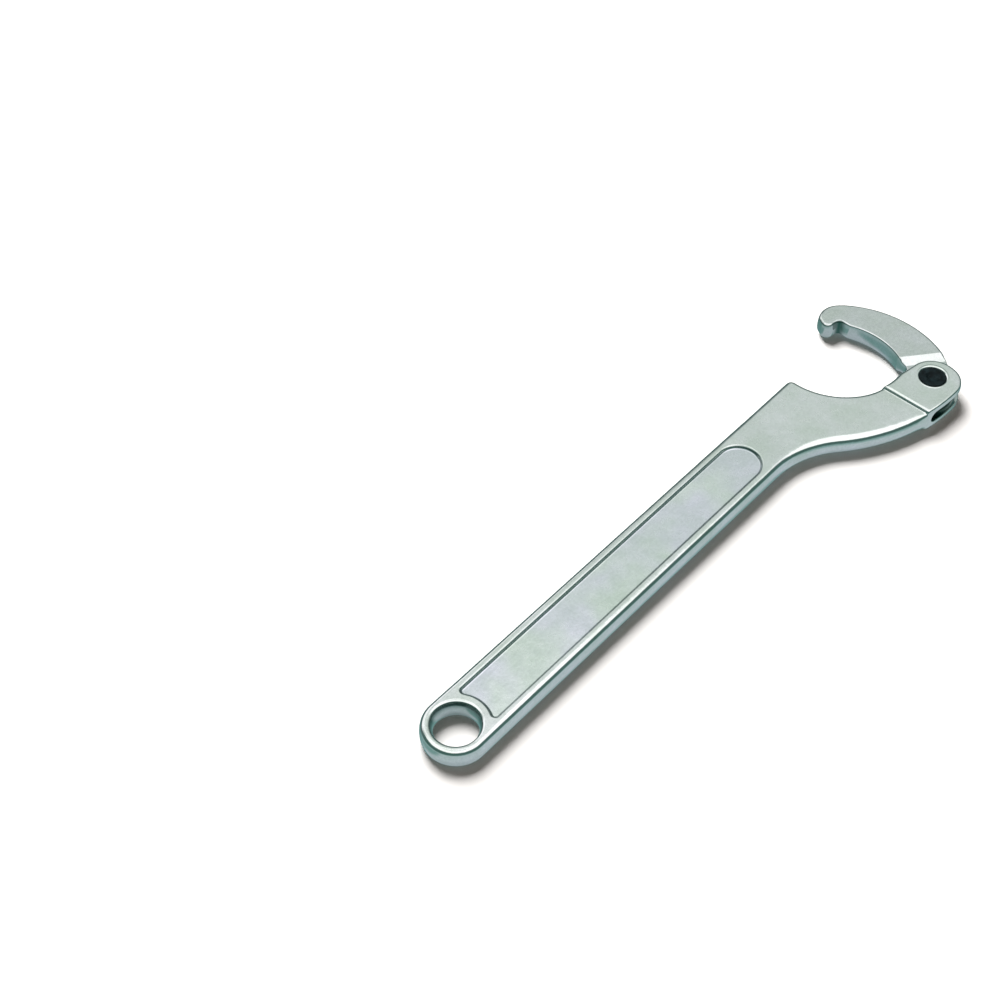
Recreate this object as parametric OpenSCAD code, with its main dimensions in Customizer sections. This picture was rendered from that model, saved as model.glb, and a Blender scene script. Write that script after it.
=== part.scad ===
// Adjustable hinged hook wrench for round couplings, caps and collars.
// A forged flat handle carries a slotted two-ear head; a curved hook with an
// inward tooth swings between the ears on one riveted pivot pin.
// Origin: axis of the hanging hole at mid thickness. +X runs along the handle
// to the head, +Y is the side that the jaw opens to, +Z is a flat face.

/* [Handle] */
// Half width of the handle at the hanging hole, also the end radius
eye_r = 13.3; // [13.0:0.1:13.8]
// Half width of the handle where it runs into the head
neck_half_w = 13.1; // [12.7:0.1:13.5]
// Radius of the hanging hole
hang_r = 8.6; // [8.2:0.1:9.2]
// Thickness of the handle over its rims
handle_t = 9.2; // [8.8:0.1:9.8]
// Depth of the recessed panel on each face
pocket_depth = 1.3; // [0.8:0.1:1.6]
// Half width of the recessed panel
pocket_half_w = 8.5; // [8.0:0.1:8.8]
// Radius of the raised ring between the hanging hole and the panel
ring_r = 13.2; // [12.8:0.1:13.8]
// Distance from the hanging hole to the round head end of the panel
pocket_end_x = 175; // [170:1:178]

/* [Head] */
// Thickness of the head plate
head_t = 8.4; // [8.0:0.1:8.8]
// Thickness of the raised head over its two ears
clevis_t = 11.4; // [11.0:0.1:11.8]
// Pivot position along the handle
pivot_x = 257.9; // [257.3:0.2:258.5]
// Pivot position across the handle
pivot_y = -31.4; // [-31.8:0.2:-31.0]
// Radius of the ears
ear_r = 11.5; // [11.3:0.1:11.6]
// Height of the slot between the ears
slot_h = 5.6; // [5.5:0.1:5.8]
// Start of the handle's back curve
back_x = 176; // [174:1:178]
// Radius of the hollow part of the back curve
back_r = 42; // [39:1:45]
// Radius of the seat that bears on the round coupling
seat_r = 29.1; // [28.9:0.1:29.3]
// Seat centre along the handle
seat_x = 248.2; // [248:0.1:248.6]
// Seat centre across the handle
seat_y = 9.4; // [9.2:0.1:9.6]
// Foot of the ramp up to the raised ears
ramp_x = 239.2; // [238.6:0.2:239.8]

/* [Hook] */
// Thickness of the hook's arm
hook_t = 8; // [7.6:0.1:8.2]
// Thickness of the tongue that turns between the ears
tongue_t = 5.0; // [4.6:0.1:5.0]
// Radius of the tongue's round end
tongue_r = 10.3; // [9.8:0.1:10.5]
// Inner radius of the arm
arm_in_r = 31.4; // [31.1:0.1:31.7]
// Outer radius of the arm
arm_out_r = 45.1; // [44.8:0.1:45.4]
// Distance from the pivot to the top of the shoulder
shoulder_d = 14.1; // [14.0:0.1:14.6]
// Distance from the pivot to the foot of the shoulder
shoulder_foot_d = 10.3; // [10.3:0.1:10.8]

/* [Pivot] */
// Radius of the pin's shank
pin_r = 4.0; // [3.8:0.1:4.1]
// Radius of the pin's flush heads
pin_head_r = 5.55; // [5.3:0.05:5.75]
// Radial running clearance of the tongue on the pin
pin_clearance = 0.05; // [0.03:0.01:0.09]

/* [Hidden] */
$fn = 96;
eps = 0.01;

// Points along an arc, from angle a0 to a1 in n steps
function arc_pts(c, r, a0, a1, n) =
    [for (i = [0 : n]) let (a = a0 + (a1 - a0) * i / n) [c[0] + r * cos(a), c[1] + r * sin(a)]];

pivot = [pivot_x, pivot_y];
// The ears are centred a little behind the pin
ear_c = [pivot_x - 0.3, pivot_y - 1.0];
// The ears fall away from the seat at this slope
ear_slope = 9.5;
ear_top = ear_c + (ear_r - 0.04) * [sin(ear_slope), cos(ear_slope)];
ear_low = ear_c[1] - ear_r;
seat_c = [seat_x, seat_y];
nose_x = seat_c[0] - sqrt(seat_r * seat_r - (neck_half_w - seat_c[1]) * (neck_half_w - seat_c[1]));

// Back of the head: a hollow arc, then a full arc that ends level under the pivot
back_drop = -neck_half_w - ear_low;
back_run = ear_c[0] - back_x;
back_a = 2 * atan2(back_drop, back_run);
back_sum = back_drop / (1 - cos(back_a));
full_r = back_sum - back_r;
back_join = [back_x + back_r * sin(back_a), -neck_half_w - back_r * (1 - cos(back_a))];

ramp_top_x = ramp_x + 2.5;
taper_x0 = 172;
taper_x1 = 192;
slot_root_r = slot_h / 2;
slot_x = ramp_top_x + 0.4 + slot_root_r;

// Hook outline, in the closed tree of arcs that the arm is drawn from
arm_in_c = [231.5, 1.4];
arm_out_c = [234.95, -4.9];
tip_c = [262.1, 17.5];
tip_r = 9.7;
tooth_c = [257.6, 21.2];
tooth_r = 3.25;
hook_dir = 50.7;

head_cone = 1.3;
head_land = 0.4;
pin_half = clevis_t / 2 - 0.1;
pin_edge = 0.35;

module face_pair() {
    children();
    mirror([0, 0, 1]) children();
}

// Side outline of the forging: handle, thinner head plate, ramp, raised ears
module side_profile() {
    h = handle_t / 2;
    p = head_t / 2;
    c = clevis_t / 2;
    rotate([90, 0, 0]) linear_extrude(height = 200, center = true)
        polygon([[-30, -h], [taper_x0, -h], [taper_x1, -p], [ramp_x, -p], [ramp_top_x, -c],
                 [300, -c], [300, c], [ramp_top_x, c], [ramp_x, p], [taper_x1, p],
                 [taper_x0, h], [-30, h]]);
}

module handle_bar() {
    cylinder(r = eye_r, h = 20, center = true);
    linear_extrude(height = 20, center = true)
        polygon([[0, -eye_r], [back_x, -neck_half_w], [back_x, neck_half_w], [0, eye_r]]);
}

module head_plate() {
    difference() {
        union() {
            linear_extrude(height = 20, center = true)
                polygon([[back_x - eps, -neck_half_w], back_join, ear_c,
                         ear_top, [seat_c[0], ear_top[1] + (ear_top[0] - seat_c[0]) * tan(ear_slope)],
                         [nose_x + 0.4, neck_half_w],
                         [back_x - eps, neck_half_w]]);
            intersection() {
                translate([ear_c[0], ear_low + full_r + 0.09, 0])
                    cylinder(r = full_r + 0.08, h = 20, center = true, $fn = 180);
                linear_extrude(height = 20, center = true)
                    polygon([[back_join[0] - 2, back_join[1] + 3], [back_join[0] - 2, ear_low - 2],
                             [ear_c[0], ear_low - 2], ear_c]);
            }
            translate([ear_c[0], ear_c[1], 0]) cylinder(r = ear_r, h = 20, center = true);
        }
        translate([seat_c[0], seat_c[1], 0]) cylinder(r = seat_r, h = 30, center = true, $fn = 180);
        translate([back_x, -neck_half_w - back_r, 0])
            cylinder(r = back_r, h = 30, center = true, $fn = 180);
    }
}

module panel_recess() {
    translate([0, 0, handle_t / 2 - pocket_depth]) difference() {
        union() {
            translate([0, -pocket_half_w, 0])
                cube([pocket_end_x - pocket_half_w, 2 * pocket_half_w, 4]);
            translate([pocket_end_x - pocket_half_w, 0, 0]) cylinder(r = pocket_half_w, h = 4);
        }
        translate([0, 0, -1]) cylinder(r = ring_r, h = 6);
    }
}

module tongue_slot() {
    translate([slot_x, -80, -slot_h / 2]) cube([60, 100, slot_h]);
    translate([slot_x, -30, 0]) rotate([90, 0, 0]) cylinder(r = slot_root_r, h = 100, center = true);
}

// Countersunk seat for one pin head, with a small chamfer at the face
module pin_seat() {
    z3 = pin_half - pin_edge;
    z2 = z3 - head_land;
    z1 = z2 - head_cone;
    face = clevis_t / 2;
    rotate_extrude()
        polygon([[0, z1 - eps], [pin_r, z1 - eps], [pin_r, z1], [pin_head_r, z2], [pin_head_r, z3],
                 [pin_head_r + 0.5, face], [pin_head_r + 0.5, face + 1], [0, face + 1]]);
}

module handle() {
    color([0.76, 0.79, 0.79]) difference() {
        intersection() {
            union() {
                handle_bar();
                head_plate();
            }
            side_profile();
        }
        face_pair() panel_recess();
        cylinder(r = hang_r, h = 30, center = true);
        face_pair() translate([0, 0, handle_t / 2 - 0.5])
            cylinder(r1 = hang_r, r2 = hang_r + 1, h = 1);
        tongue_slot();
        translate([pivot[0], pivot[1], 0]) {
            cylinder(r = pin_r, h = 30, center = true);
            face_pair() pin_seat();
        }
    }
}

module hook_outline() {
    t = [pivot_x, pivot_y];
    polygon(concat(
        arc_pts(arm_in_c, arm_in_r, -28.9, 20.5, 26),
        [[260.9, 16.7], [259.9, 17.6]],
        arc_pts(tooth_c, tooth_r, -80, -195, 10),
        arc_pts(tip_c, tip_r, 126, 45, 14),
        arc_pts(arm_out_c, arm_out_r, 37.5, -32, 34),
        arc_pts(t, tongue_r, -22, -244, 36),
        [[pivot_x + 0.2, pivot_y + 12.8]]));
}

// Material cleared above the tongue: a flat over the ears, then the shoulder ramp
module shoulder_cut() {
    z0 = tongue_t / 2;
    z1 = hook_t / 2;
    translate([pivot_x, pivot_y, 0]) rotate([0, 0, hook_dir]) rotate([90, 0, 0])
        linear_extrude(height = 80, center = true)
            polygon([[-30, z0], [shoulder_foot_d, z0], [shoulder_foot_d + 2.3, z0 + 0.26],
                     [shoulder_d, z1], [shoulder_d + 0.02, z1 + 4], [-30, z1 + 4]]);
}

module hook() {
    color([0.78, 0.81, 0.81]) difference() {
        linear_extrude(height = hook_t, center = true) hook_outline();
        face_pair() shoulder_cut();
        translate([pivot_x, pivot_y, 0]) cylinder(r = pin_r + pin_clearance, h = 30, center = true);
    }
}

module pivot_pin() {
    z3 = pin_half - pin_edge;
    z2 = z3 - head_land;
    z1 = z2 - head_cone;
    color([0.05, 0.06, 0.07]) translate([pivot_x, pivot_y, 0]) rotate_extrude()
        polygon([[0, -pin_half + 0.9], [2.0, -pin_half + 0.9], [2.9, -pin_half],
                 [pin_head_r - pin_edge, -pin_half], [pin_head_r, -z3], [pin_head_r, -z2],
                 [pin_r, -z1], [pin_r, z1], [pin_head_r, z2], [pin_head_r, z3],
                 [pin_head_r - pin_edge, pin_half], [2.9, pin_half], [2.0, pin_half - 0.9],
                 [0, pin_half - 0.9]]);
}

handle();
hook();
pivot_pin();
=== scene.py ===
import math

import bmesh
import bpy
import numpy as np
from mathutils import Vector, Matrix
from mathutils.geometry import delaunay_2d_cdt


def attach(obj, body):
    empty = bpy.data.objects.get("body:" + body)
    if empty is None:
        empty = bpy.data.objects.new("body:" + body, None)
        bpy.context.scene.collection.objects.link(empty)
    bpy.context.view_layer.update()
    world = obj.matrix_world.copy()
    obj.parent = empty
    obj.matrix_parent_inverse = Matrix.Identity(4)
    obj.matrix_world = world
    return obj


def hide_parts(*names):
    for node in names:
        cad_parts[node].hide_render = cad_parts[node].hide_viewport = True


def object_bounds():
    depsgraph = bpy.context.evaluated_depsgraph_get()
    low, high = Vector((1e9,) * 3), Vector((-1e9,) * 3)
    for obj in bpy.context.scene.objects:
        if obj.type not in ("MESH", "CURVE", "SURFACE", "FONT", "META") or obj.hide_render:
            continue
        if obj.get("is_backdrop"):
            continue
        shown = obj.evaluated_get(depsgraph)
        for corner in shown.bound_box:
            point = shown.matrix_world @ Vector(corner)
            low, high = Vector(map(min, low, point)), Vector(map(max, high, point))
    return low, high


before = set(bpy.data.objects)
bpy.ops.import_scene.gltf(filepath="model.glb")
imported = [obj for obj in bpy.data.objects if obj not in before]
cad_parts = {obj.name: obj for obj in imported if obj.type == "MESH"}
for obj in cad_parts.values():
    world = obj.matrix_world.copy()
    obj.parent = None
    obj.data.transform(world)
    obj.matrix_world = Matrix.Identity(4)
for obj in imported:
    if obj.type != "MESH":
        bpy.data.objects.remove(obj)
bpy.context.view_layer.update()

# ---------------------------------------------------------------- dimensions
# Millimetres in the row frame, the same numbers that part.scad is drawn from.
EYE_R, NECK_W, HANG_R = 13.3, 13.1, 8.6
HANDLE_H, HEAD_H, EAR_H = 4.6, 4.2, 5.63
PIVOT = (257.9, -31.4)
EAR_C, EAR_R = (257.6, -32.4), 11.5
EAR_SLOPE = 9.5
SEAT_C, SEAT_R = (248.2, 9.4), 29.1
BACK_X, BACK_R = 176.0, 42.0
BACK_DROP = -NECK_W - (EAR_C[1] - EAR_R)
BACK_A = 2 * math.degrees(math.atan2(BACK_DROP, EAR_C[0] - BACK_X))
FULL_R = BACK_DROP / (1 - math.cos(math.radians(BACK_A))) - BACK_R
SLOT_X, SLOT_R = 244.9, 2.8
HOOK_H, TONGUE_H = 4.0, 2.5
HOOK_DIR = 50.7
PIN_HALF = 5.6
LIP_R = 0.38


def rad(a):
    return a * math.pi / 180.0


# ---------------------------------------------------------------- plan curves
def arc(c, r, a0, a1):
    n = max(2, int(abs(rad(a1 - a0)) * r / 0.04))
    a = np.radians(np.linspace(a0, a1, n))
    return np.stack([c[0] + r * np.cos(a), c[1] + r * np.sin(a)], -1)


def line(p, q):
    p, q = np.array(p, float), np.array(q, float)
    n = max(2, int(np.linalg.norm(q - p) / 0.04))
    return p + (q - p) * np.linspace(0, 1, n)[:, None]


class Loop:
    """A closed plan curve, resampled evenly and softened, with outward normals."""

    def __init__(self, parts, soft=0.25, step=0.05):
        p = np.concatenate([np.asarray(x, float) for x in parts])
        keep = np.ones(len(p), bool)
        keep[1:] = np.linalg.norm(np.diff(p, axis=0), axis=1) > 1e-6
        p = p[keep]
        p = np.concatenate([p, p[:1]])
        s = np.concatenate([[0], np.cumsum(np.linalg.norm(np.diff(p, axis=0), axis=1))])
        n = int(s[-1] / step)
        t = np.linspace(0, s[-1], n, endpoint=False)
        p = np.stack([np.interp(t, s, p[:, 0]), np.interp(t, s, p[:, 1])], -1)
        if soft:
            k = int(4 * soft / step)
            w = np.exp(-0.5 * (np.arange(-k, k + 1) * step / soft) ** 2)
            w /= w.sum()
            ext = np.concatenate([p[-k:], p, p[:k]])
            p = np.stack([np.convolve(ext[:, i], w, mode="valid") for i in (0, 1)], -1)
        d = np.roll(p, -3, 0) - np.roll(p, 3, 0)
        d /= np.linalg.norm(d, axis=1)[:, None]
        self.p = p
        self.n = np.stack([d[:, 1], -d[:, 0]], -1)
        self.step = step

    def pick(self, turn=4.0, longest=5.0, dense=(), forced=(), ban=None):
        """Places along the loop: adaptive ones, plus every crossing of the forced x values. None but those in ban."""
        n = len(self.p)
        ang = np.unwrap(np.arctan2(self.n[:, 1], self.n[:, 0]))
        out = [0.0]
        last_a, last_i = ang[0], 0
        for i in range(1, n):
            far = (i - last_i) * self.step
            lim = longest
            for (lo, hi, span) in dense:
                if lo <= self.p[i, 0] <= hi:
                    lim = min(lim, span)
            if abs(ang[i] - last_a) > rad(turn) or far >= lim:
                out.append(float(i))
                last_a, last_i = ang[i], i
        exact = []
        for x in forced:
            f = self.p[:, 0] - x
            g = np.roll(f, -1)
            for i in np.nonzero((f * g <= 0) & (f != g))[0]:
                exact.append(i + f[i] / (f[i] - g[i]))
        exact = sorted(set(round(t, 6) for t in exact))
        if ban:
            out = [t for t in out if not ban[0] < self.p[int(t), 0] < ban[1]]
        keep = [t for t in out if all(abs(t - e) > 2.2 for e in exact)]
        return np.array(sorted(keep + exact))

    def at(self, t):
        n = len(self.p)
        i = int(math.floor(t)) % n
        f = t - math.floor(t)
        j = (i + 1) % n
        p = self.p[i] * (1 - f) + self.p[j] * f
        m = self.n[i] * (1 - f) + self.n[j] * f
        return p, m / np.linalg.norm(m)


def s_profile(height, r_top, r_foot, slope, n_top=6, n_foot=4):
    """Down step from a face to a floor: rounded top edge, straight wall, hollow foot.
    Rows of (run, drop, angle), the run centred on 0."""
    a = rad(slope)
    rest = height - (r_top + r_foot) * (1 - math.cos(a))
    wall = max(0.0, rest / math.sin(a))
    rows = []
    for k in range(n_top + 1):
        b = a * k / n_top
        rows.append((r_top * math.sin(b), r_top * (1 - math.cos(b)), b))
    x, y = rows[-1][0] + wall * math.cos(a), rows[-1][1] + wall * math.sin(a)
    if wall > 1e-4:
        rows.append((x, y, a))
    for k in range(1, n_foot + 1):
        b = a * (1 - k / n_foot)
        rows.append((x + r_foot * (math.sin(a) - math.sin(b)),
                     y + r_foot * (math.cos(b) - math.cos(a)), b))
    mid = rows[-1][0] / 2
    scale = height / rows[-1][1]
    return [(u - mid, v * scale, b) for u, v, b in rows]


# ---------------------------------------------------------------- mesh shell
class Shell:
    """Closed mesh built from shared corners, each with its own exact normal."""

    def __init__(self):
        self.co, self.no, self.edge, self.low, self.deep, self.faces, self.keys = [], [], [], [], [], [], {}

    def v(self, p, n, edge=0.0, low=0.0, deep=0.0):
        k = tuple(int(math.floor(c * 1000.0 + 0.313)) for c in p)
        i = self.keys.get(k)
        if i is None:
            m = math.sqrt(n[0] ** 2 + n[1] ** 2 + n[2] ** 2)
            i = len(self.co)
            self.keys[k] = i
            self.co.append((p[0], p[1], p[2]))
            self.no.append((n[0] / m, n[1] / m, n[2] / m))
            self.edge.append(edge)
            self.low.append(low)
            self.deep.append(deep)
        return i

    def face(self, idx):
        out = []
        for i in idx:
            if i not in out:
                out.append(i)
        if len(out) > 2:
            self.faces.append(tuple(out))

    def strip(self, a, b, closed=True, flip=False):
        n = len(a)
        for i in range(n if closed else n - 1):
            j = (i + 1) % n
            q = (a[i], a[j], b[j], b[i])
            self.face(q[::-1] if flip else q)

    def mirrored(self):
        """Adds the mirror image in z of every face, sharing the corners at z = 0."""
        n = len(self.co)
        other = [self.v((c[0], c[1], -c[2]), (m[0], m[1], -m[2]), e, w, d)
                 for c, m, e, w, d in zip(self.co[:n], self.no[:n], self.edge[:n], self.low[:n], self.deep[:n])]
        self.faces += [tuple(other[i] for i in f[::-1]) for f in list(self.faces)]

    def build(self, name):
        me = bpy.data.meshes.new(name)
        me.from_pydata([tuple(c * 0.001 for c in p) for p in self.co], [], self.faces)
        bm = bmesh.new()
        bm.from_mesh(me)
        bmesh.ops.recalc_face_normals(bm, faces=bm.faces)
        open_edges = sum(1 for e in bm.edges if len(e.link_faces) != 2)
        print(name, "verts", len(bm.verts), "faces", len(bm.faces), "open edges", open_edges,
              "volume mm3", round(bm.calc_volume() * 1e9, 1))
        bm.to_mesh(me)
        bm.free()
        me.update()
        me.polygons.foreach_set("use_smooth", [True] * len(me.polygons))
        me.normals_split_custom_set_from_vertices([Vector(n) for n in self.no])
        # polish feeds roughness, recess the panel's tint, and the last attribute holds painted shade
        for key, data in (("polish", self.edge), ("recess", self.low), ("deep", self.deep)):
            at = me.attributes.new(key, "FLOAT", "POINT")
            at.data.foreach_set("value", np.array(data, np.float32))
        ob = bpy.data.objects.new(name, me)
        bpy.context.scene.collection.objects.link(ob)
        return ob


def inside(poly, q):
    """Even-odd test of points q against a closed polygon."""
    a, b = poly, np.roll(poly, -1, 0)
    c = np.zeros(len(q), bool)
    for (x0, y0), (x1, y1) in zip(a, b):
        if y0 == y1:
            continue
        hit = ((y0 > q[:, 1]) != (y1 > q[:, 1])) & (
            q[:, 0] < (x1 - x0) * (q[:, 1] - y0) / (y1 - y0) + x0)
        c ^= hit
    return c


def patch(outer, holes, rings, points):
    """Triangles between an outer ring and holes that keep every ring as edges.
    rings are (array, closed). Returns points, triangles and, for each point, its index in the input."""
    src, es = [], []
    for ring, closed in [(outer, True)] + [(h, True) for h in holes] + list(rings):
        k = len(src)
        m = len(ring)
        src += [(float(x), float(y)) for x, y in ring]
        es += [(k + i, k + (i + 1) % m) for i in range(m if closed else m - 1)]
    src += [(float(x), float(y)) for x, y in points]
    ov, _, of, vi, _, _ = delaunay_2d_cdt([Vector(p) for p in src], es, [], 0, 1e-6)
    q = np.array([[p.x, p.y] for p in ov])
    tri = np.array([f for f in of if len(f) == 3], int)
    mid = q[tri].mean(1)
    ok = inside(np.asarray(outer, float), mid)
    for h in holes:
        ok &= ~inside(np.asarray(h, float), mid)
    orig = [int(o[0]) if len(o) else -1 for o in vi]
    for i, o in enumerate(orig):
        if o >= 0:
            q[i] = src[o]
    return q, tri[ok], orig


TILT = rad(12.0)
CROWN_A = rad(60.0)


def rim_rows(h, r, n_arc=8, n_wall=4, low=0.0, tilt=TILT, crown=None):
    """Rows (inset, z, normal angle above the plan) up a crowned side wall and round its edge.
    crown is the radius of the last part of the edge, above CROWN_A, when it is broader than r."""
    big = r if crown is None else crown
    turn = CROWN_A
    z1 = h - big * (1 - math.sin(turn)) - r * (math.sin(turn) - math.sin(tilt))
    d = z1 * math.tan(tilt) / 2
    rows = []
    for k in range(n_wall):
        z = low + (z1 - low) * k / n_wall
        f = z / z1
        rows.append((d * f * f, z, math.atan(2 * d * z / (z1 * z1))))
    half = n_arc // 2
    for k in range(half + 1):
        a = tilt + (turn - tilt) * k / half
        rows.append((d + r * (math.cos(tilt) - math.cos(a)), z1 + r * (math.sin(a) - math.sin(tilt)), a))
    x, z = rows[-1][0], rows[-1][1]
    for k in range(1, n_arc - half + 1):
        a = turn + (math.pi / 2 - turn) * k / (n_arc - half)
        rows.append((x + big * (math.cos(turn) - math.cos(a)), z + big * (math.sin(a) - math.sin(turn)), a))
    return rows


# ---------------------------------------------------------------- handle
nose_f = 3.0
nose_y = NECK_W - nose_f
nose_x = SEAT_C[0] - math.sqrt((SEAT_R + nose_f) ** 2 - (nose_y - SEAT_C[1]) ** 2)
nose_a = math.degrees(math.atan2(nose_y - SEAT_C[1], nose_x - SEAT_C[0]))
hollow_c = (BACK_X, -NECK_W - BACK_R)
ear_top = (EAR_C[0] + EAR_R * math.sin(rad(EAR_SLOPE)), EAR_C[1] + EAR_R * math.cos(rad(EAR_SLOPE)))
seat_a = -84.0
while (SEAT_C[1] + SEAT_R * math.sin(rad(seat_a)) >
       ear_top[1] + (ear_top[0] - SEAT_C[0] - SEAT_R * math.cos(rad(seat_a))) * math.tan(rad(EAR_SLOPE))):
    seat_a -= 0.05
seat_end = (SEAT_C[0] + SEAT_R * math.cos(rad(seat_a)), SEAT_C[1] + SEAT_R * math.sin(rad(seat_a)))
handle_loop = Loop([
    arc((0, 0), EYE_R, 90, 270),
    line((0, -EYE_R), (BACK_X, -NECK_W)),
    arc(hollow_c, BACK_R, 90, 90 - BACK_A),
    arc((EAR_C[0], EAR_C[1] - EAR_R + FULL_R), FULL_R, 270 - BACK_A, 270),
    arc(EAR_C, EAR_R, -90, 90 - EAR_SLOPE),
    line(ear_top, seat_end),
    arc(SEAT_C, SEAT_R, seat_a, nose_a - 360),
    arc((nose_x, nose_y), nose_f, nose_a - 180, 90),
    line((nose_x, NECK_W), (BACK_X, NECK_W)),
    line((BACK_X, NECK_W), (0, EYE_R)),
], soft=0.3)

step_rows = s_profile(EAR_H - HEAD_H, 1.45, 0.35, 72, n_top=8, n_foot=3)
STEP_X = 240.2
step_x = [STEP_X - u for u, _, _ in step_rows]          # from the ear face down to the plate
step_z = [EAR_H - v for _, v, _ in step_rows]
step_a = [b for _, _, b in step_rows]
TAPER = (172.0, 194.0)


def face_z(x):
    """Height of the flat face and its slope along x."""
    if x >= step_x[0]:
        return EAR_H, 0.0
    if x > step_x[-1]:
        for k in range(len(step_x) - 1):
            if step_x[k + 1] <= x <= step_x[k]:
                f = (step_x[k] - x) / (step_x[k] - step_x[k + 1])
                z = step_z[k] + (step_z[k + 1] - step_z[k]) * f
                b = step_a[k] + (step_a[k + 1] - step_a[k]) * f
                return z, math.tan(b)
    f = min(1.0, max(0.0, (x - TAPER[0]) / (TAPER[1] - TAPER[0])))
    z = HANDLE_H + (HEAD_H - HANDLE_H) * f * f * (3 - 2 * f)
    return z, (HEAD_H - HANDLE_H) * 6 * f * (1 - f) / (TAPER[1] - TAPER[0])


def ease(v, a, b):
    f = min(1.0, max(0.0, (v - a) / (b - a)))
    return f * f * (3 - 2 * f)


def handle_edge(p, m):
    """Edge radius, crown radius and wall draft at a place on the outline."""
    x = p[0]
    near = ease(-m[1], 0.1, 0.85)
    ear = ease(x, 234.0, 242.0)
    head = ease(x, 165.0, 205.0) * (1 - ear)
    eye = 1 - ease(x, 3.0, 16.0)
    r0 = 2.5 + (2.3 - 2.5) * head + (1.8 - 2.5) * ear
    r0 += (2.2 - r0) * eye
    r1 = 2.2 + (2.2 - 2.2) * head + (0.8 - 2.2) * ear
    big = 2.7 + (4.7 - 2.7) * head + (1.8 - 2.7) * ear
    big += (2.1 - big) * eye
    r1 += (2.1 - r1) * eye
    draft = 12.5 + 7.5 * head - 5.0 * ear
    r = r0 + (r1 - r0) * near
    return r, r0 + (big - r0) * near, rad(12.0 + (draft - 12.0) * near)


theta = [rad(a) for a in (0, 15, 30, 45, 60, 75, 90)]
low_x = [SLOT_X - (SLOT_R + LIP_R) * math.cos(a) for a in theta]
ts = handle_loop.pick(turn=4.0, longest=4.0, dense=[(step_x[-1] - 1.5, step_x[0] + 4, 0.6)],
                      forced=low_x + step_x, ban=(low_x[0] - 0.08, SLOT_X + 0.08))
cols = [handle_loop.at(t) for t in ts]
nc = len(cols)

shell = Shell()
ring_idx, ring_pts = [], []
low_of = []
for p, m in cols:
    x = p[0]
    if x >= SLOT_X - 1e-4:
        low_of.append((SLOT_R + LIP_R, math.pi / 2))
    elif x > low_x[0] + 1e-4:
        a = math.acos(min(1.0, (SLOT_X - x) / (SLOT_R + LIP_R)))
        low_of.append(((SLOT_R + LIP_R) * math.sin(a), a))
    elif x > low_x[0] - 1e-4:
        low_of.append((0.0, 0.0))
    else:
        low_of.append((0.0, None))


def column(shell, p, m, h, r, low, height, n_arc=8, n_wall=4, tilt=TILT, deep=None, crown=None):
    """One column of corners from the wall's low end, round the edge, to the face."""
    out = []
    for ins, z, a in rim_rows(h, r, n_arc, n_wall, low, tilt, crown):
        q = (p[0] - m[0] * ins, p[1] - m[1] * ins)
        hq, s = height(q)
        z = low + (z - low) * (hq - low) / (h - low)
        ca, sa = math.cos(a), math.sin(a)
        f = 1.0 / math.sqrt(1 + s[0] ** 2 + s[1] ** 2)
        n = (m[0] * ca - s[0] * f * sa, m[1] * ca - s[1] * f * sa, f * sa)
        # painted shade, full on the wall and fading out round the edge between 40 and 80 degrees
        w = deep(q) * (1.0 - min(1.0, max(0.0, (math.degrees(a) - 40) / 40))) if deep else 0.0
        out.append((shell.v((q[0], q[1], z), n, 1.0 - max(0.0, (math.degrees(a) - 70) / 20), 0.0, w), q))
    return out


def handle_height(q):
    z, s = face_z(q[0])
    return z, (s, 0.0)


columns = []
for (p, m), (low, _) in zip(cols, low_of):
    h, _ = face_z(p[0])
    r, big, draft = handle_edge(p, m)
    columns.append(column(shell, p, m, h, r, low, height=handle_height, n_arc=10, tilt=draft, crown=big))
rows_n = len(columns[0])
for k in range(rows_n - 1):
    shell.strip([c[k][0] for c in columns], [c[k + 1][0] for c in columns])
outer = np.array([c[-1][1] for c in columns])

# Rounded lips of the slot and its inner faces
slot_cols = [i for i in range(nc) if low_of[i][1] is not None]
start = next(i for i in slot_cols if (i - 1) % nc not in slot_cols)
run = []
i = start
while i in slot_cols:
    run.append(i)
    i = (i + 1) % nc


# painted shade inside the slot and on the inner half of its lips: full at the root, easing to 0.45 toward the ear's tip
def slot_deep(q):
    return 1.0 - 0.55 * ease(q[0], 250.0, 256.0)


lip = []
for i in run:
    p, m = cols[i]
    low, a = low_of[i]
    ns = np.array([math.cos(a), 0.0, -math.sin(a)]) if a < math.pi / 2 - 1e-6 else np.array([0.0, 0.0, -1.0])
    m3 = np.array([m[0], m[1], 0.0])
    base = np.array([p[0], p[1], low])
    h, _ = face_z(p[0])
    ins = rim_rows(h, handle_edge(p, m)[0], 10, 4, low, handle_edge(p, m)[2], handle_edge(p, m)[1])[0][0]
    base = base - m3 * ins
    c = base - LIP_R * m3
    colv = []
    for k in range(5):
        b = rad(22.5 * k)
        n = math.cos(b) * m3 + math.sin(b) * ns
        q = c + LIP_R * n
        if a == 0.0:
            q[2] = 0.0
            n = np.array([n[0], n[1], 0.0])
        colv.append((shell.v(q, n, 0.8, 0.0, slot_deep(q) if k > 2 else 0.0), q))
    lip.append(colv)
for k in range(4):
    shell.strip([c[k + 1][0] for c in lip], [c[k][0] for c in lip], closed=False)
first90 = next(j for j, i in enumerate(run) if low_of[i][1] > math.pi / 2 - 1e-6)
last90 = max(j for j, i in enumerate(run) if low_of[i][1] > math.pi / 2 - 1e-6)
back_side = list(range(0, first90 + 1))
seat_side = list(range(len(run) - 1, last90 - 1, -1))
m_root = min(len(back_side), len(seat_side))
root_rows = []
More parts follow.
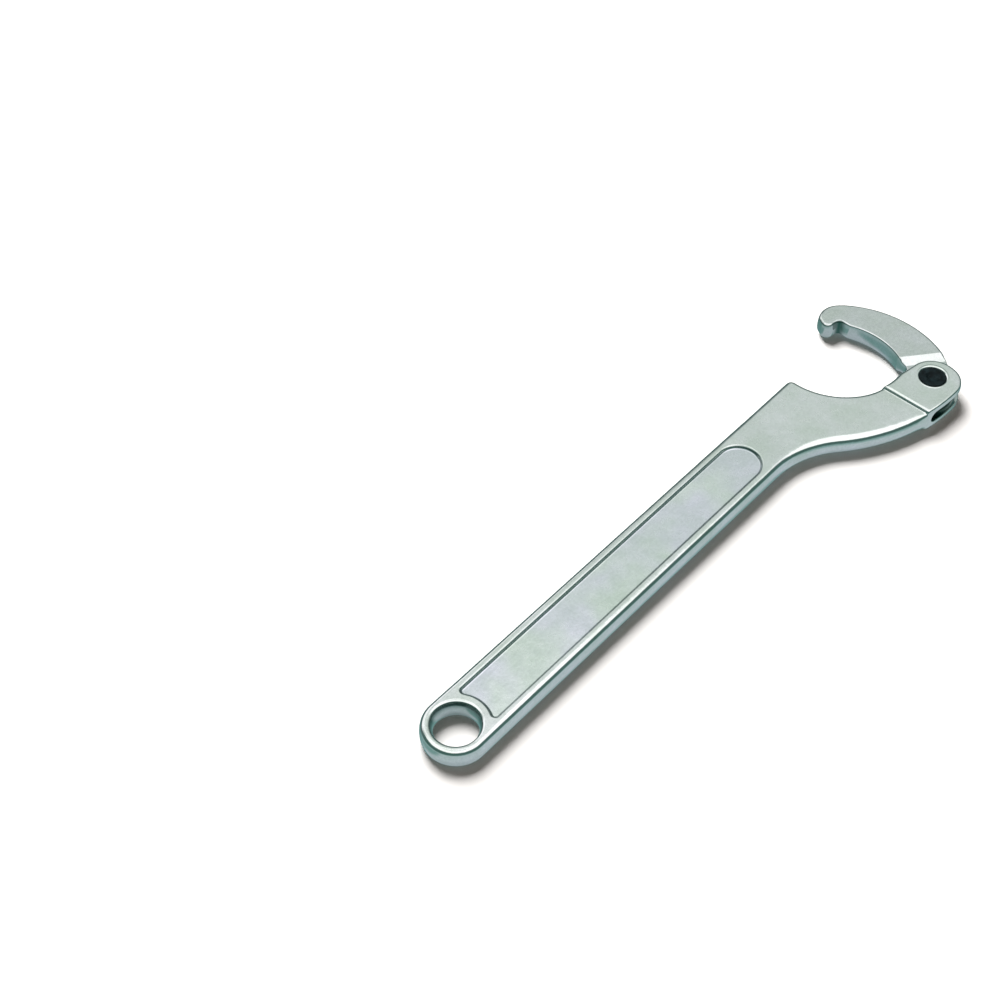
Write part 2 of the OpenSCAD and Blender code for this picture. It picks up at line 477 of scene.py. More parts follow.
for k in range(m_root):
    qa, qb = lip[back_side[k]][-1][1], lip[seat_side[k]][-1][1]
    a = low_of[run[back_side[k]]][1]
    # painted shade, full, on the slot's root
    root_rows.append([shell.v(q, (math.cos(a), 0.0, -math.sin(a)), 0.1, 0.0, 1.0) for q in (qa, qb)])
for k in range(m_root - 1):
    shell.strip(root_rows[k + 1], root_rows[k], closed=False)
ear_ring = [lip[j][-1][1][:2] for j in range(first90, last90 + 1)]
bore = [(PIVOT[0] + 4.0 * math.cos(a), PIVOT[1] + 4.0 * math.sin(a))
        for a in np.linspace(0, 2 * math.pi, 48, endpoint=False)]
q, tri, _ = patch(ear_ring, [bore], [], [])
idx = [shell.v((x, y, SLOT_R), (0, 0, -1), 0.1, 0.0, slot_deep((x, y))) for x, y in q]
for a, b, c in tri:
    shell.face((idx[c], idx[b], idx[a]))


# Hanging hole: crowned bore wall with a broad polished rim
def round_hole(shell, centre, radius, r_edge, height, n=72, n_wall=4, n_arc=7, tilt=TILT, deep=None):
    colsh = []
    for a in np.linspace(0, -2 * math.pi, n, endpoint=False):
        m = (-math.cos(a), -math.sin(a))
        p = (centre[0] + radius * math.cos(a), centre[1] + radius * math.sin(a))
        h, _ = height(p)
        colsh.append(column(shell, p, m, h, r_edge, 0.0, n_arc=n_arc, n_wall=n_wall, height=height, tilt=tilt,
                            deep=deep))
    for k in range(len(colsh[0]) - 1):
        shell.strip([c[k][0] for c in colsh], [c[k + 1][0] for c in colsh])
    return np.array([c[-1][1] for c in colsh])


# painted shade on the hanging hole's bore wall: a quarter on the lower wall, darker higher up the wall, none on the rim
eye_ring = round_hole(shell, (0, 0), HANG_R - 0.15, 1.5, handle_height, tilt=rad(24.0),
                      deep=lambda q: 0.25 + 0.45 * ease(math.hypot(q[0], q[1]), 8.5, 8.9)
                      - 0.70 * ease(math.hypot(q[0], q[1]), 9.3, 9.9))

# Pin seat: bright chamfer, short land, cone, bore down to the slot
seat_prof = [(7.05, EAR_H, 90), (6.90, 5.637, -83), (6.62, 5.675, -77), (6.44, 5.697, -86), (6.30, 5.695, 82),
             (6.08, 5.63, 62), (5.84, 5.47, 48), (5.62, 5.27, 34), (5.57, 5.1, 5), (5.56, 4.85, 20), (4.0, 3.55, 40),
             (4.0, 3.4, 0), (4.0, SLOT_R, 0)]
seat_rows = []
for r, z, a in seat_prof:
    row = []
    for t in np.linspace(0, -2 * math.pi, 48, endpoint=False):
        c, s = math.cos(t), math.sin(t)
        # a negative angle leans outward, the rest lean in over the pin
        ca, sa = math.cos(rad(a)) * (1.0 if a < 0 else -1.0), abs(math.sin(rad(a)))
        row.append(shell.v((PIVOT[0] + r * c, PIVOT[1] + r * s, z), (c * ca, s * ca, sa), 1.0 if z > 5 else 0.2))
    seat_rows.append(row)
for k in range(len(seat_rows) - 1):
    shell.strip(seat_rows[k + 1], seat_rows[k])
pin_ring = np.array([shell.co[i][:2] for i in seat_rows[0]])

# Recessed panel
REC_W, REC_END, REC_R, REC_D, REC_F = 9.05, 166.7, 13.2, 1.3, 1.6
rec_rows = s_profile(REC_D, 1.0, 0.8, 60, n_top=5, n_foot=4)
x0 = math.sqrt((REC_R + REC_F) ** 2 - (REC_W - REC_F) ** 2)
a0 = math.degrees(math.atan2(REC_W - REC_F, x0))
rec_loop = Loop([
    line((x0, -REC_W), (REC_END, -REC_W)),
    arc((REC_END, 0), REC_W, -90, 90),
    line((REC_END, REC_W), (x0, REC_W)),
    arc((x0, REC_W - REC_F), REC_F, 90, 180 + a0),
    arc((0, 0), REC_R, a0, -a0),
    arc((x0, REC_F - REC_W), REC_F, 180 - a0, 270),
], soft=0.25)
rts = rec_loop.pick(turn=5.0, longest=4.0)
rec_cols = [rec_loop.at(t) for t in rts]
rec_rings = []
rec_info = {}
base = 0
pre = len(outer) + len(eye_ring) + len(pin_ring)
for u, v, b in rec_rows:
    ring = []
    for p, m in rec_cols:
        # the loop runs round the recess, so -m points into it
        ring.append((p[0] - m[0] * u, p[1] - m[1] * u))
        rec_info[pre + base] = (v, b, (-m[0], -m[1]))
        base += 1
    rec_rings.append((np.array(ring), True))
floor_poly = rec_rings[-1][0]
top_poly = rec_rings[0][0]


def span(x):
    """Lowest and highest y of the top face at x, just inside its rounded edge."""
    a, b = outer, np.roll(outer, -1, 0)
    hit = (a[:, 0] - x) * (b[:, 0] - x) < 0
    y = a[hit, 1] + (b[hit, 1] - a[hit, 1]) * (x - a[hit, 0]) / (b[hit, 0] - a[hit, 0])
    return y


lines = []
for x in step_x + [step_x[-1] - 0.5, step_x[0] + 0.5]:
    y = sorted(span(x))
    if len(y) >= 2:
        lo, hi = y[0], y[1]
        # ends sit 0.02 inside the two lowest crossings of the outline at this x
        cand = outer[np.abs(outer[:, 0] - x) < 0.35]
        lines.append((np.array([(x, lo + 0.02), (x, hi - 0.02)]), False))
extra = []
for x in np.arange(172.0, 196.0, 2.0):
    for y in np.arange(-11.5, 12.0, 1.5):
        extra.append((x, y))
for x in np.arange(197.0, 240.0, 3.0):
    for y in np.arange(-40.0, 12.0, 3.0):
        extra.append((x, y))
for x in np.arange(4.0, 172.0, 4.0):
    extra.append((x, 9.95))
    extra.append((x, -9.95))
    if x > 16:
        for y in (-4.5, 0.0, 4.5):
            extra.append((x, y))
extra = np.array(extra)


def clear_of(poly, pts, d):
    seg = np.concatenate([poly, poly[:1]])
    out = np.ones(len(pts), bool)
    for a, b in zip(seg[:-1], seg[1:]):
        e = b - a
        t = np.clip(((pts - a) @ e) / max(e @ e, 1e-9), 0, 1)
        out &= np.linalg.norm(pts - (a + t[:, None] * e), axis=1) > d
    return out


ok = inside(outer, extra) & clear_of(outer, extra, 0.35)
for poly in (floor_poly, top_poly, eye_ring):
    ok &= clear_of(poly, extra, 0.35)
ok &= ~(inside(top_poly, extra) & ~inside(floor_poly, extra))
ok &= ~inside(eye_ring, extra)
extra = extra[ok]
q, tri, orig = patch(outer, [eye_ring, pin_ring], rec_rings + lines, extra)
in_top, in_floor = inside(top_poly, q), inside(floor_poly, q)
dense = rec_loop.p
idx = []
n_out = len(outer) + len(eye_ring) + len(pin_ring)
for i, (x, y) in enumerate(q):
    z, s = face_z(x)
    o = orig[i]
    n = (-s, 0.0, 1.0)
    drop = shade = 0.0
    if 0 <= o < n_out:
        idx.append(shell.v((x, y, z), n))
        continue
    if o in rec_info:
        v, b, d = rec_info[o]
        drop = v
        n = (d[0] * math.sin(b) - s, d[1] * math.sin(b), math.cos(b))
        edge = 0.55 * math.sin(b)
        # painted shade on the recess walls, growing with their steepness: heavier on walls that face the far side and
        # on the round end toward the head
        away = d[0] * 0.744 + d[1] * 0.668
        shade = ease(b, 0.15, 0.6) * (0.12 + 0.48 * ease(away, -0.3, 0.3) + 0.45 * ease(-d[0], 0.5, 0.95))
    elif in_floor[i]:
        drop, edge = REC_D, 0.0
    elif in_top[i]:
        k = int(np.argmin(np.sum((dense - (x, y)) ** 2, axis=1)))
        u = float(np.dot(np.array([x, y]) - rec_loop.p[k], -rec_loop.n[k]))
        us = [r[0] for r in rec_rows]
        drop = float(np.interp(u, us, [r[1] for r in rec_rows]))
        b = float(np.interp(u, us, [r[2] for r in rec_rows]))
        d = -rec_loop.n[k]
        n = (d[0] * math.sin(b) - s, d[1] * math.sin(b), math.cos(b))
        edge = 0.5
    else:
        edge = 0.0
    idx.append(shell.v((x, y, z - drop), n, edge, 1.0 if drop > REC_D - 0.35 else 0.0, shade))
for a, b, c in tri:
    shell.face((idx[a], idx[b], idx[c]))
shell.mirrored()
handle_ob = shell.build("handle_forging")

# ---------------------------------------------------------------- hook
in_c, in_r = (231.5, 1.4), 31.45
out_c, out_r = (234.95, -4.9), 45.1
tip_c, tip_r = (262.1, 17.5), 9.7
tooth_c, tooth_r = (257.6, 21.2), 3.25


def at_arc(c, r, a):
    return (c[0] + r * math.cos(rad(a)), c[1] + r * math.sin(rad(a)))


hook_loop = Loop([
    # traversed so that the metal is on the left
    arc(tip_c, tip_r, 45, 126),
    line(at_arc(tip_c, tip_r, 126), at_arc(tooth_c, tooth_r, 165)),
    arc(tooth_c, tooth_r, 165, 280),
    line(at_arc(tooth_c, tooth_r, 280), (259.9, 17.6)),
    line((259.9, 17.6), (260.9, 16.7)),
    line((260.9, 16.7), at_arc(in_c, in_r, 20.5)),
    arc(in_c, in_r, 20.5, -28.9),
    line(at_arc(in_c, in_r, -28.9), (PIVOT[0] + 0.2, PIVOT[1] + 12.8)),
    line((PIVOT[0] + 0.2, PIVOT[1] + 12.8), at_arc(PIVOT, 10.3, -244)),
    arc(PIVOT, 10.3, -244, -22),
    line(at_arc(PIVOT, 10.3, -22), at_arc(out_c, out_r, -32)),
    arc(out_c, out_r, -32, 37.0),
], soft=0.42)

hd = (math.cos(rad(HOOK_DIR)), math.sin(rad(HOOK_DIR)))
# The shoulder starts level at the ears' edge, steepens, then rounds into the arm
sh_u = [14.8, 14.55, 14.3, 14.05, 13.8, 13.4, 13.0, 12.6, 12.2, 11.4, 10.7, 10.4, 10.2]
sh_a = [rad(float(np.interp(u, [10.2, 10.45, 12.4, 13.1, 13.8, 14.8], [0.0, 7.0, 7.0, 36.0, 36.0, 0.0]))) for u in sh_u]
sh_z = [TONGUE_H]
for k in range(len(sh_u) - 1, 0, -1):
    sh_z.append(sh_z[-1] + (sh_u[k - 1] - sh_u[k]) * math.tan((sh_a[k - 1] + sh_a[k]) / 2))
print("shoulder height before fitting", round(sh_z[-1], 3))
sh_z = [TONGUE_H + (z - TONGUE_H) * (HOOK_H - TONGUE_H) / (sh_z[-1] - TONGUE_H) for z in sh_z][::-1]


def hook_u(q):
    return (q[0] - PIVOT[0]) * hd[0] + (q[1] - PIVOT[1]) * hd[1]


def hook_height(q):
    u = hook_u(q)
    if u >= sh_u[0]:
        return HOOK_H, (0.0, 0.0)
    if u <= sh_u[-1]:
        return TONGUE_H, (0.0, 0.0)
    z = float(np.interp(u, sh_u[::-1], sh_z[::-1]))
    t = math.tan(float(np.interp(u, sh_u[::-1], sh_a[::-1]))) + 0.09 * ease(u, 10.2, 10.5) * (1 - ease(u, 12.4, 13.1))
    return z, (t * hd[0], t * hd[1])


def hook_edge_r(q):
    u = hook_u(q)
    f = min(1.0, max(0.0, (u - 9.5) / 6.0))
    # the inner edge is crisp, the outer edge and the tip are rounded
    g = min(1.0, max(0.0, (math.hypot(q[0] - in_c[0], q[1] - in_c[1]) - in_r - 1.0) / 8.0))
    k = min(1.0, max(0.0, (q[1] - 8.0) / 18.0))
    r = max(0.75 + 0.75 * g * g * (3 - 2 * g), 0.75 + 0.7 * k * k * (3 - 2 * k))
    return 0.4 + (r - 0.4) * f * f * (3 - 2 * f)


# painted shade of 0.3 on the tongue, which sits in the slot, fading out where the shoulder starts
def hook_deep(q):
    f = min(1.0, max(0.0, (hook_u(q) - 9.6) / 0.8))
    return 0.3 * (1 - f)


# painted shade on the hook's side walls: a tenth everywhere, up to nearly full in the crevice by the tooth
def hook_wall_deep(q):
    d = math.hypot(q[0] - 260.4, q[1] - 16.9)
    return max(hook_deep(q), 0.10, 0.95 * math.exp(-(d / 2.3) ** 2))


hshell = Shell()
hts = hook_loop.pick(turn=4.5, longest=1.2, dense=[(262.0, 273.0, 0.5), (256.0, 262.0, 0.5)])
hcols = [hook_loop.at(t) for t in hts]
hcolumns = []
for p, m in hcols:
    h, _ = hook_height(p)
    shade = hook_wall_deep(p)
    hcolumns.append(column(hshell, p, m, h, hook_edge_r(p), 0.0, height=hook_height, deep=lambda q: shade))
for k in range(len(hcolumns[0]) - 1):
    hshell.strip([c[k][0] for c in hcolumns], [c[k + 1][0] for c in hcolumns])
houter = np.array([c[-1][1] for c in hcolumns])
hbore = round_hole(hshell, PIVOT, 4.05, 0.3, hook_height, n=48, n_wall=2, n_arc=4, tilt=rad(1.0), deep=hook_deep)
hlines = []
side = (-hd[1], hd[0])
for u in sh_u:
    a = np.array([PIVOT[0] + hd[0] * u, PIVOT[1] + hd[1] * u])
    tt = np.linspace(-14, 14, 561)
    cand = a + tt[:, None] * np.array(side)
    inn = inside(houter, cand) & clear_of(houter, cand, 0.12)
    if inn.any():
        # the longest run inside
        best, cur = (0, 0), None
        for i, f in enumerate(list(inn) + [False]):
            if f and cur is None:
                cur = i
            if not f and cur is not None:
                if i - cur > best[1] - best[0]:
                    best = (cur, i)
                cur = None
        ks = np.linspace(best[0], best[1] - 1, 12).astype(int)
        hlines.append((cand[ks], False))
grid = np.array([(x, y) for x in np.arange(246.0, 282.0, 1.8) for y in np.arange(-43.0, 30.0, 1.8)])
okg = inside(houter, grid) & clear_of(houter, grid, 0.6) & clear_of(hbore, grid, 0.3) & ~inside(hbore, grid)
gu = np.array([hook_u(g) for g in grid])
okg &= (gu > sh_u[0] + 0.3) | (gu < sh_u[-1] - 0.3)
q, tri, orig = patch(houter, [hbore], hlines, grid[okg])
idx = []
for (x, y) in q:
    z, s = hook_height((x, y))
    u = hook_u((x, y))
    idx.append(hshell.v((x, y, z), (-s[0], -s[1], 1.0), ease(u, 9.8, 10.4) * (1 - ease(u, 14.0, 14.9)), 0.0, hook_deep((x, y))))
for a, b, c in tri:
    hshell.face((idx[a], idx[b], idx[c]))
hshell.mirrored()
hook_ob = hshell.build("hook_forging")

# ---------------------------------------------------------------- pivot pin
pin_prof = [(0.0, 4.72, 90), (0.8, 4.73, 84), (1.6, 4.80, 74), (2.2, 5.02, 55), (2.6, 5.30, 52), (2.95, 5.49, 66),
            (3.25, 5.545, 84), (3.5, 5.56, 90), (4.95, 5.56, 90), (5.20, 5.53, 65), (5.38, 5.46, 45),
            (5.50, 5.34, 22), (5.54, 5.22, 2), (5.55, 4.85, -20), (4.0, 3.55, -30), (3.98, 3.3, 0), (3.98, 0.0, 0)]
pshell = Shell()
prow = []
for r, z, a in pin_prof:
    row = []
    for t in np.linspace(0, 2 * math.pi, 64, endpoint=False):
        c, s = math.cos(t), math.sin(t)
        # the dish's walls lean inward, the head's edge leans outward
        sign = -1.0 if r < 3.3 else 1.0
        ca, sa = math.cos(rad(a)), math.sin(rad(a))
        row.append(pshell.v((PIVOT[0] + r * c, PIVOT[1] + r * s, z), (sign * c * ca, sign * s * ca, sa), 1.0 if r > 5.1 else 0.0))
    prow.append(row)
for k in range(len(prow) - 1):
    pshell.strip(prow[k + 1], prow[k])
pshell.mirrored()
pin_ob = pshell.build("pivot_rivet")


# ---------------------------------------------------------------- materials
def node(nt, kind, **kw):
    n = nt.nodes.new(kind)
    for k, v in kw.items():
        setattr(n, k, v)
    return n


def chrome(name, tint, tint2, rough, bump, mottle, floor_tint, floor_tint2):
    """Satin chrome over a forging: soft mottling, pearl grain, polished edges."""
    m = bpy.data.materials.new(name)
    m.use_nodes = True
    nt = m.node_tree
    nt.nodes.clear()
    out = node(nt, "ShaderNodeOutputMaterial")
    bs = node(nt, "ShaderNodeBsdfPrincipled")
    bs.inputs["Metallic"].default_value = 1.0
    nt.links.new(bs.outputs[0], out.inputs[0])
    tc = node(nt, "ShaderNodeTexCoord")
    # broad cloudy tint
    n1 = node(nt, "ShaderNodeTexNoise")
    n1.inputs["Scale"].default_value = 60.0
    n1.inputs["Detail"].default_value = 4.0
    n1.inputs["Roughness"].default_value = 0.62
    nt.links.new(tc.outputs["Object"], n1.inputs["Vector"])
    ramp = node(nt, "ShaderNodeValToRGB")
    ramp.color_ramp.elements[0].position = 0.36
    ramp.color_ramp.elements[0].color = (*tint, 1)
    ramp.color_ramp.elements[1].position = 0.66
    ramp.color_ramp.elements[1].color = (*tint2, 1)
    nt.links.new(n1.outputs["Fac"], ramp.inputs["Fac"])
    # fine speckle on top
    n2 = node(nt, "ShaderNodeTexNoise")
    n2.inputs["Scale"].default_value = 900.0
    n2.inputs["Detail"].default_value = 3.0
    nt.links.new(tc.outputs["Object"], n2.inputs["Vector"])
    mr = node(nt, "ShaderNodeMapRange")
    mr.inputs["From Min"].default_value = 0.3
    mr.inputs["From Max"].default_value = 0.7
    mr.inputs["To Min"].default_value = 1.0 - mottle
    mr.inputs["To Max"].default_value = 1.0 + mottle * 0.4
    nt.links.new(n2.outputs["Fac"], mr.inputs["Value"])
    mul = node(nt, "ShaderNodeVectorMath", operation="SCALE")
    nt.links.new(ramp.outputs["Color"], mul.inputs[0])
    nt.links.new(mr.outputs["Result"], mul.inputs["Scale"])
    # the recessed panel carries broad patches of two tints
    n4 = node(nt, "ShaderNodeTexNoise")
    n4.inputs["Scale"].default_value = 38.0
    n4.inputs["Detail"].default_value = 2.0
    nt.links.new(tc.outputs["Object"], n4.inputs["Vector"])
    patches = node(nt, "ShaderNodeValToRGB")
    patches.color_ramp.elements[0].position = 0.42
    patches.color_ramp.elements[0].color = (*floor_tint, 1)
    patches.color_ramp.elements[1].position = 0.58
    patches.color_ramp.elements[1].color = (*floor_tint2, 1)
    nt.links.new(n4.outputs["Fac"], patches.inputs["Fac"])
    cool = node(nt, "ShaderNodeVectorMath", operation="MULTIPLY")
    nt.links.new(mul.outputs["Vector"], cool.inputs[0])
    nt.links.new(patches.outputs["Color"], cool.inputs[1])
    low = node(nt, "ShaderNodeAttribute", attribute_name="recess")
    pick = node(nt, "ShaderNodeMix", data_type="VECTOR")
    nt.links.new(low.outputs["Fac"], pick.inputs["Factor"])
    nt.links.new(mul.outputs["Vector"], pick.inputs["A"])
    nt.links.new(cool.outputs["Vector"], pick.inputs["B"])
    # painted shade: where the shell marks it, the base colour is pulled toward a near-black teal, in the slot, on the
    # tongue, in the hanging hole, on the recess walls and on the hook's walls
    dark = node(nt, "ShaderNodeAttribute", attribute_name="deep")
    tone = node(nt, "ShaderNodeMix", data_type="VECTOR")
    nt.links.new(dark.outputs["Fac"], tone.inputs["Factor"])
    nt.links.new(pick.outputs["Result"], tone.inputs["A"])
    tone.inputs["B"].default_value = (0.008, 0.085, 0.066)
    nt.links.new(tone.outputs["Result"], bs.inputs["Base Color"])
    # roughness: satin faces, polished edges, some wear patches
    at = node(nt, "ShaderNodeAttribute", attribute_name="polish")
    n3 = node(nt, "ShaderNodeTexNoise")
    n3.inputs["Scale"].default_value = 220.0
    n3.inputs["Detail"].default_value = 5.0
    nt.links.new(tc.outputs["Object"], n3.inputs["Vector"])
    r1 = node(nt, "ShaderNodeMapRange")
    r1.inputs["From Min"].default_value = 0.3
    r1.inputs["From Max"].default_value = 0.7
    r1.inputs["To Min"].default_value = rough * 0.8
    r1.inputs["To Max"].default_value = rough * 1.25
    nt.links.new(n3.outputs["Fac"], r1.inputs["Value"])
    r2 = node(nt, "ShaderNodeMapRange")
    r2.inputs["To Min"].default_value = 1.0
    r2.inputs["To Max"].default_value = 0.45
    nt.links.new(at.outputs["Fac"], r2.inputs["Value"])
    rm = node(nt, "ShaderNodeMath", operation="MULTIPLY")
    nt.links.new(r1.outputs["Result"], rm.inputs[0])
    nt.links.new(r2.outputs["Result"], rm.inputs[1])
    nt.links.new(rm.outputs[0], bs.inputs["Roughness"])
    # relief: slow forging waves under a fine pearl grain
    w = node(nt, "ShaderNodeTexNoise")
    w.inputs["Scale"].default_value = 140.0
    w.inputs["Detail"].default_value = 2.0
    nt.links.new(tc.outputs["Object"], w.inputs["Vector"])
    b1 = node(nt, "ShaderNodeBump")
    b1.inputs["Strength"].default_value = 1.0
    b1.inputs["Distance"].default_value = 0.00012 * bump
    nt.links.new(w.outputs["Fac"], b1.inputs["Height"])
    g = node(nt, "ShaderNodeTexNoise")
    g.inputs["Scale"].default_value = 1500.0
    g.inputs["Detail"].default_value = 2.0
    nt.links.new(tc.outputs["Object"], g.inputs["Vector"])
    b2 = node(nt, "ShaderNodeBump")
    b2.inputs["Strength"].default_value = 1.0
    b2.inputs["Distance"].default_value = 0.000012 * bump
    nt.links.new(g.outputs["Fac"], b2.inputs["Height"])
    nt.links.new(b1.outputs["Normal"], b2.inputs["Normal"])
    nt.links.new(b2.outputs["Normal"], bs.inputs["Normal"])
    return m


def black_oxide(name):
    m = bpy.data.materials.new(name)
    m.use_nodes = True
    nt = m.node_tree
    nt.nodes.clear()
    out = node(nt, "ShaderNodeOutputMaterial")
    bs = node(nt, "ShaderNodeBsdfPrincipled")
    nt.links.new(bs.outputs[0], out.inputs[0])
    bs.inputs["Metallic"].default_value = 0.0
    bs.inputs["Specular IOR Level"].default_value = 0.10
    tc = node(nt, "ShaderNodeTexCoord")
    n1 = node(nt, "ShaderNodeTexNoise")
    n1.inputs["Scale"].default_value = 420.0
    n1.inputs["Detail"].default_value = 5.0
    nt.links.new(tc.outputs["Object"], n1.inputs["Vector"])
    ramp = node(nt, "ShaderNodeValToRGB")
    ramp.color_ramp.elements[0].position = 0.35
    ramp.color_ramp.elements[0].color = (0.0015, 0.003, 0.0035, 1)
    ramp.color_ramp.elements[1].position = 0.72
    ramp.color_ramp.elements[1].color = (0.008, 0.015, 0.017, 1)
    nt.links.new(n1.outputs["Fac"], ramp.inputs["Fac"])
    nt.links.new(ramp.outputs["Color"], bs.inputs["Base Color"])
    r1 = node(nt, "ShaderNodeMapRange")
    r1.inputs["To Min"].default_value = 0.34
    r1.inputs["To Max"].default_value = 0.58
    nt.links.new(n1.outputs["Fac"], r1.inputs["Value"])
    nt.links.new(r1.outputs["Result"], bs.inputs["Roughness"])
    b1 = node(nt, "ShaderNodeBump")
    b1.inputs["Distance"].default_value = 0.00003
    nt.links.new(n1.outputs["Fac"], b1.inputs["Height"])
    nt.links.new(b1.outputs["Normal"], bs.inputs["Normal"])
    return m


handle_mat = chrome("satin_chrome_handle", (0.68, 0.73, 0.695), (0.785, 0.80, 0.815), 0.24, 1.0, 0.06, (0.995, 0.97, 1.07), (0.945, 0.985, 0.955))
hook_mat = chrome("satin_chrome_hook", (0.64, 0.675, 0.655), (0.725, 0.735, 0.765), 0.22, 0.9, 0.08, (1.0, 1.0, 1.0), (1.0, 1.0, 1.0))
pin_mat = black_oxide("black_oxide_pin")
for ob, mat, body, nd, slot in ((handle_ob, handle_mat, "handle_body", "handle", "handle_chrome"),
                                (hook_ob, hook_mat, "hook_body", "hook", "hook_chrome"),
                                (pin_ob, pin_mat, "handle_body", "pivot_pin", "pin_black")):
    ob.data.materials.append(mat)
    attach(ob, body)
    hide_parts(nd)
for nd, mat in (("handle", handle_mat), ("hook", hook_mat), ("pivot_pin", pin_mat)):
    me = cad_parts[nd].data
    me.materials.clear()
    me.materials.append(mat)

# ---------------------------------------------------------------- floor
FLOOR_Z = -0.00571
fm = bpy.data.materials.new("pale_floor")
fm.use_nodes = True
fb = fm.node_tree.nodes["Principled BSDF"]
fb.inputs["Base Color"].default_value = (0.88, 0.862, 0.845, 1)
fb.inputs["Roughness"].default_value = 0.9
fb.inputs["Specular IOR Level"].default_value = 0.1
s = 3.0
fme = bpy.data.meshes.new("floor")
# the tool rests on its ears and on the end of its thinner handle, so the floor leans by a quarter of a degree
lean = 0.0011 / 0.272
z_a, z_b = FLOOR_Z + lean * (0.2585 + s), FLOOR_Z + lean * (0.2585 - s)
fme.from_pydata([(-s, -s, z_a), (s, -s, z_b), (s, s, z_b), (-s, s, z_a)], [], [(0, 1, 2, 3)])
floor = bpy.data.objects.new("floor", fme)
fme.materials.append(fm)
bpy.context.scene.collection.objects.link(floor)
floor.visible_glossy = False
floor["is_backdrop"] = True

# ---------------------------------------------------------------- camera
cam_pos = Vector((-0.262260, -0.256392, 0.557848))
fwd = Vector((0.48244, 0.43279, -0.76154)).normalized()
right = Vector((0.6678, -0.7444, 0.0)).normalized()
up = right.cross(fwd).normalized()
cd = bpy.data.cameras.new("camera")
cd.sensor_width = 36.0
cd.lens = 66.6
cd.clip_start, cd.clip_end = 0.01, 50.0
cam = bpy.data.objects.new("camera", cd)
cam.matrix_world = Matrix((
    (right.x, up.x, -fwd.x, cam_pos.x),
    (right.y, up.y, -fwd.y, cam_pos.y),
    (right.z, up.z, -fwd.z, cam_pos.z),
    (0, 0, 0, 1)))
bpy.context.scene.collection.objects.link(cam)
bpy.context.scene.camera = cam

# ---------------------------------------------------------------- light
FAR = Vector((fwd.x, fwd.y, 0)).normalized()
world = bpy.data.worlds.new("studio")
bpy.context.scene.world = world
world.use_nodes = True
wt = world.node_tree
wt.nodes.clear()
wo = node(wt, "ShaderNodeOutputWorld")
bg_seen = node(wt, "ShaderNodeBackground")
bg_seen.inputs[0].default_value = (1, 1, 1, 1)
bg_seen.inputs[1].default_value = 1.0
bg_diff = node(wt, "ShaderNodeBackground")
bg_diff.inputs[0].default_value = (1.0, 0.86, 0.76, 1)
bg_diff.inputs[1].default_value = 0.12
bg_env = node(wt, "ShaderNodeBackground")
tcw = node(wt, "ShaderNodeTexCoord")
sep = node(wt, "ShaderNodeSeparateXYZ")
wt.links.new(tcw.outputs["Generated"], sep.inputs[0])


def wmath(op, a, b=None, clamp=False):
    n = node(wt, "ShaderNodeMath", operation=op)
    n.use_clamp = clamp
    for i, v in enumerate((a, b)):
        if v is None:
            continue
        if isinstance(v, (int, float)):
            n.inputs[i].default_value = v
        else:
            wt.links.new(v, n.inputs[i])
    return n.outputs[0]


X, Y, Z = sep.outputs
far = wmath("ADD", wmath("MULTIPLY", X, FAR.x), wmath("MULTIPLY", Y, FAR.y))


def wramp(stops, fac, mode="EASE"):
    r = node(wt, "ShaderNodeValToRGB")
    r.color_ramp.interpolation = mode
    e = r.color_ramp.elements
    while len(e) > 1:
        e.remove(e[-1])
    e[0].position, e[0].color = stops[0][0], (*stops[0][1], 1)
    for p, c in stops[1:]:
        k = e.new(p)
        k.color = (*c, 1)
    wt.links.new(fac, r.inputs["Fac"])
    return r.outputs["Color"]


def wmix(fac, a, b):
    m = node(wt, "ShaderNodeMix", data_type="RGBA")
    wt.links.new(fac, m.inputs["Factor"])
    wt.links.new(a, m.inputs["A"])
    wt.links.new(b, m.inputs["B"])
    return m.outputs["Result"]


# half of (1 + sine of elevation), so 0.5 is the horizon
GREY = (0.707, 0.777, 0.742)
WHITE = (1.5, 1.5, 1.5)
DARK = (0.08, 0.155, 0.14)
SOFT = (1.08, 1.11, 1.10)
UP = wmath("ADD", wmath("MULTIPLY", Z, 0.5), 0.5)
far_ramp = wramp([(0.0, (0.20, 0.38, 0.37)), (0.34, (0.13, 0.23, 0.22)), (0.50, (0.08, 0.12, 0.12)), (0.66, (0.14, 0.19, 0.18)),
                  (0.77, (0.50, 0.57, 0.54)), (0.84, GREY), (0.922, GREY), (0.942, WHITE), (0.978, WHITE), (0.99, SOFT)], UP)
near_ramp = wramp([(0.0, (0.40, 0.47, 0.50)), (0.10, (0.54, 0.62, 0.66)), (0.26, (0.52, 0.62, 0.64)), (0.36, (0.26, 0.42, 0.40)),
                   (0.45, DARK), (0.79, DARK), (0.89, WHITE), (0.978, WHITE), (0.99, SOFT)], UP)
side_fac = node(wt, "ShaderNodeMapRange")
side_fac.inputs["From Min"].default_value = 0.12
side_fac.inputs["From Max"].default_value = 0.42
side_fac.interpolation_type = "SMOOTHSTEP"
wt.links.new(far, side_fac.inputs["Value"])
env = wmix(side_fac.outputs[0], near_ramp, far_ramp)
# a tall white panel on the left, low enough to catch edges that lean that way
left = wmath("ADD", wmath("MULTIPLY", X, -right.x), wmath("MULTIPLY", Y, -right.y))


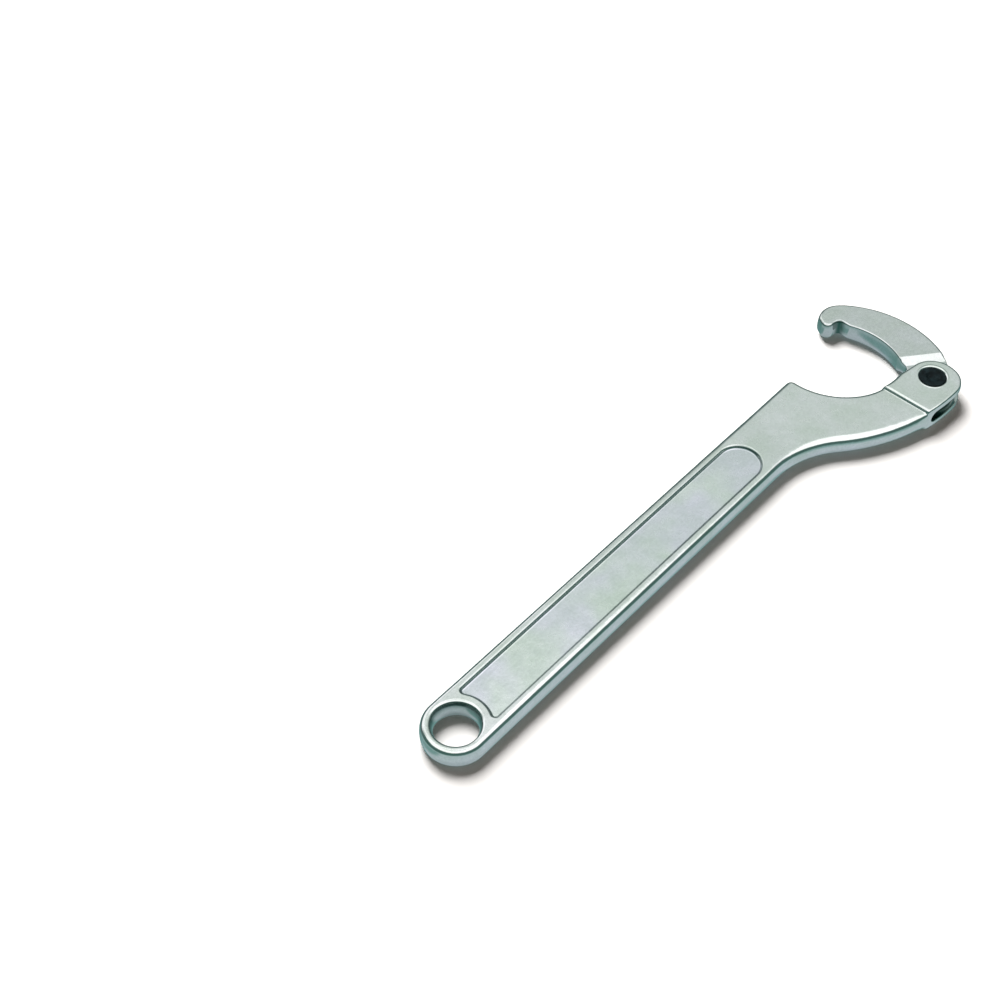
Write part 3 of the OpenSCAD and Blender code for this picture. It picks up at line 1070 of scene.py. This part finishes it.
def wstep(value, a, b):
    n = node(wt, "ShaderNodeMapRange")
    n.interpolation_type = "SMOOTHSTEP"
    n.inputs["From Min"].default_value = a
    n.inputs["From Max"].default_value = b
    wt.links.new(value, n.inputs["Value"])
    return n.outputs[0]


panel = wmath("MULTIPLY", wstep(left, 0.14, 0.32), wstep(Z, 0.18, 0.36))
panel = wmath("MULTIPLY", panel, wstep(far, 0.30, 0.50))
white = node(wt, "ShaderNodeRGB")
white.outputs[0].default_value = (1.25, 1.27, 1.27, 1)
env = wmix(panel, env, white.outputs[0])
# a dull teal corner low on the left
low_left = wmath("MULTIPLY", wstep(left, 0.48, 0.66), wmath("SUBTRACT", 0.85, wstep(Z, -0.60, -0.25), clamp=True))
teal = node(wt, "ShaderNodeRGB")
teal.outputs[0].default_value = (0.17, 0.34, 0.32, 1)
env = wmix(low_left, env, teal.outputs[0])
wt.links.new(env, bg_env.inputs[0])
bg_env.inputs[1].default_value = 1.0
lp = node(wt, "ShaderNodeLightPath")
mixa = node(wt, "ShaderNodeMixShader")
wt.links.new(lp.outputs["Is Diffuse Ray"], mixa.inputs[0])
wt.links.new(bg_env.outputs[0], mixa.inputs[1])
wt.links.new(bg_diff.outputs[0], mixa.inputs[2])
mixb = node(wt, "ShaderNodeMixShader")
wt.links.new(lp.outputs["Is Camera Ray"], mixb.inputs[0])
wt.links.new(mixa.outputs[0], mixb.inputs[1])
wt.links.new(bg_seen.outputs[0], mixb.inputs[2])
wt.links.new(mixb.outputs[0], wo.inputs[0])

centre = Vector((0.14, -0.01, 0.0))
kd = bpy.data.lights.new("key_softbox", "AREA")
kd.shape = "RECTANGLE"
kd.size, kd.size_y = 0.78, 0.78
kd.energy = 37.5
key = bpy.data.objects.new("key_softbox", kd)
bpy.context.scene.collection.objects.link(key)
kdir = (FAR * 0.65 - right * 0.32 + Vector((0, 0, 1)) * 1.0).normalized()
key.location = centre + kdir * 1.4
key.rotation_mode = "QUATERNION"
key.rotation_quaternion = kdir.to_track_quat("Z", "Y")
key.visible_glossy = False

bpy.context.scene.view_settings.view_transform = "Standard"
bpy.context.scene.view_settings.look = "None"

bpy.context.view_layer.update()
lo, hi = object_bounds()
